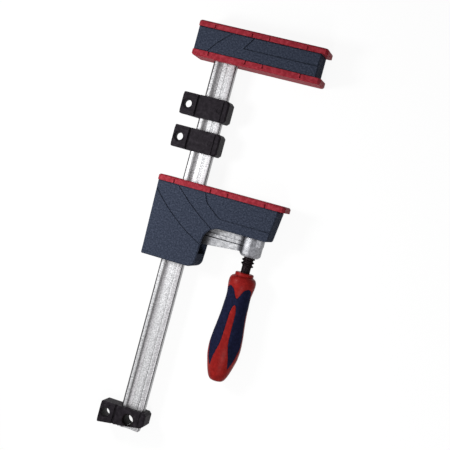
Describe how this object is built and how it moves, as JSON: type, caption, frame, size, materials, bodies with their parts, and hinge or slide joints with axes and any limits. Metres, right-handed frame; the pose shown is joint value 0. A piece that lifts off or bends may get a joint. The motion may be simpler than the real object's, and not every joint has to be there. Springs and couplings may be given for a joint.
{
  "type": "parallel clamp",
  "caption": "Parallel-jaw bar clamp: a flat grooved rail, a fixed jaw, a sliding jaw fed by a spindle with a two-part handle, two rail supports and an end stop.",
  "frame": {"origin": "on the bar's centre line, in the plane of the fixed jaw's clamping face", "axes": "+X along the jaws away from the bar, +Y along the bar towards the fixed jaw, +Z square to the bar's broad side, up from the bench that the clamp lies on"},
  "size_m": [0.1447, 0.4541, 0.036],
  "materials": {
    "zinc_steel": "bright zinc plate, fine grain",
    "cast_core": "raw casting",
    "steel": "ground",
    "cover_plastic": "grained dark navy moulding",
    "pad_plastic": "satin red moulding",
    "black_nylon": "satin black nylon",
    "brake_nylon": "plain nylon",
    "zinc_casting": "bright zinc plated casting",
    "black_steel": "black oxide",
    "handle_plastic": "satin red moulding",
    "handle_rubber": "soft navy grip"
  },
  "bodies": {
    "rail": {"bar": "zinc_steel", "fixed_jaw_core": "cast_core", "fixed_jaw_pin": "steel", "fixed_jaw_cover_front": "cover_plastic", "fixed_jaw_cover_rear": "cover_plastic", "fixed_jaw_pad": "pad_plastic", "fixed_jaw_back_pad": "pad_plastic", "end_stop": "black_nylon", "end_stop_pin": "steel"},
    "upper_block": {"upper_support": "black_nylon", "upper_brake": "brake_nylon"},
    "lower_block": {"lower_support": "black_nylon", "lower_brake": "brake_nylon"},
    "arm": {"sliding_arm": "zinc_casting", "arm_grip_pins": "steel", "arm_spring": "steel"},
    "jaw": {"moving_jaw_core": "cast_core", "upper_bar_guide": "brake_nylon", "lower_bar_guide": "brake_nylon", "thrust_cup": "steel", "moving_jaw_cover_front": "cover_plastic", "moving_jaw_cover_rear": "cover_plastic", "moving_jaw_pad": "pad_plastic"},
    "screw": {"spindle": "black_steel", "handle_core": "handle_plastic", "handle_grips": "handle_rubber", "handle_pin": "steel"}
  },
  "joints": [
    {"name": "upper_support_slide", "type": "slide", "parent": "rail", "child": "upper_block", "axis": [0, 1, 0], "range_m": [0, 0.0386]},
    {"name": "lower_support_slide", "type": "slide", "parent": "rail", "child": "lower_block", "axis": [0, 1, 0], "range_m": [0, 0.0118]},
    {"name": "jaw_slide", "type": "slide", "parent": "rail", "child": "arm", "axis": [0, 1, 0], "range_m": [-0.168, 0.02]},
    {"name": "jaw_feed", "type": "slide", "parent": "arm", "child": "jaw", "axis": [0, 1, 0], "range_m": [0, 0.01]},
    {"name": "spindle_turn", "type": "hinge", "parent": "jaw", "child": "screw", "pos_m": [0.081, -0.3, 0], "axis": [0, 1, 0], "range_deg": [0, 899]}
  ],
  "couplings": [
    {"joint": "jaw_feed", "follows": "spindle_turn", "m_per_rad": 0.00063662}
  ]
}
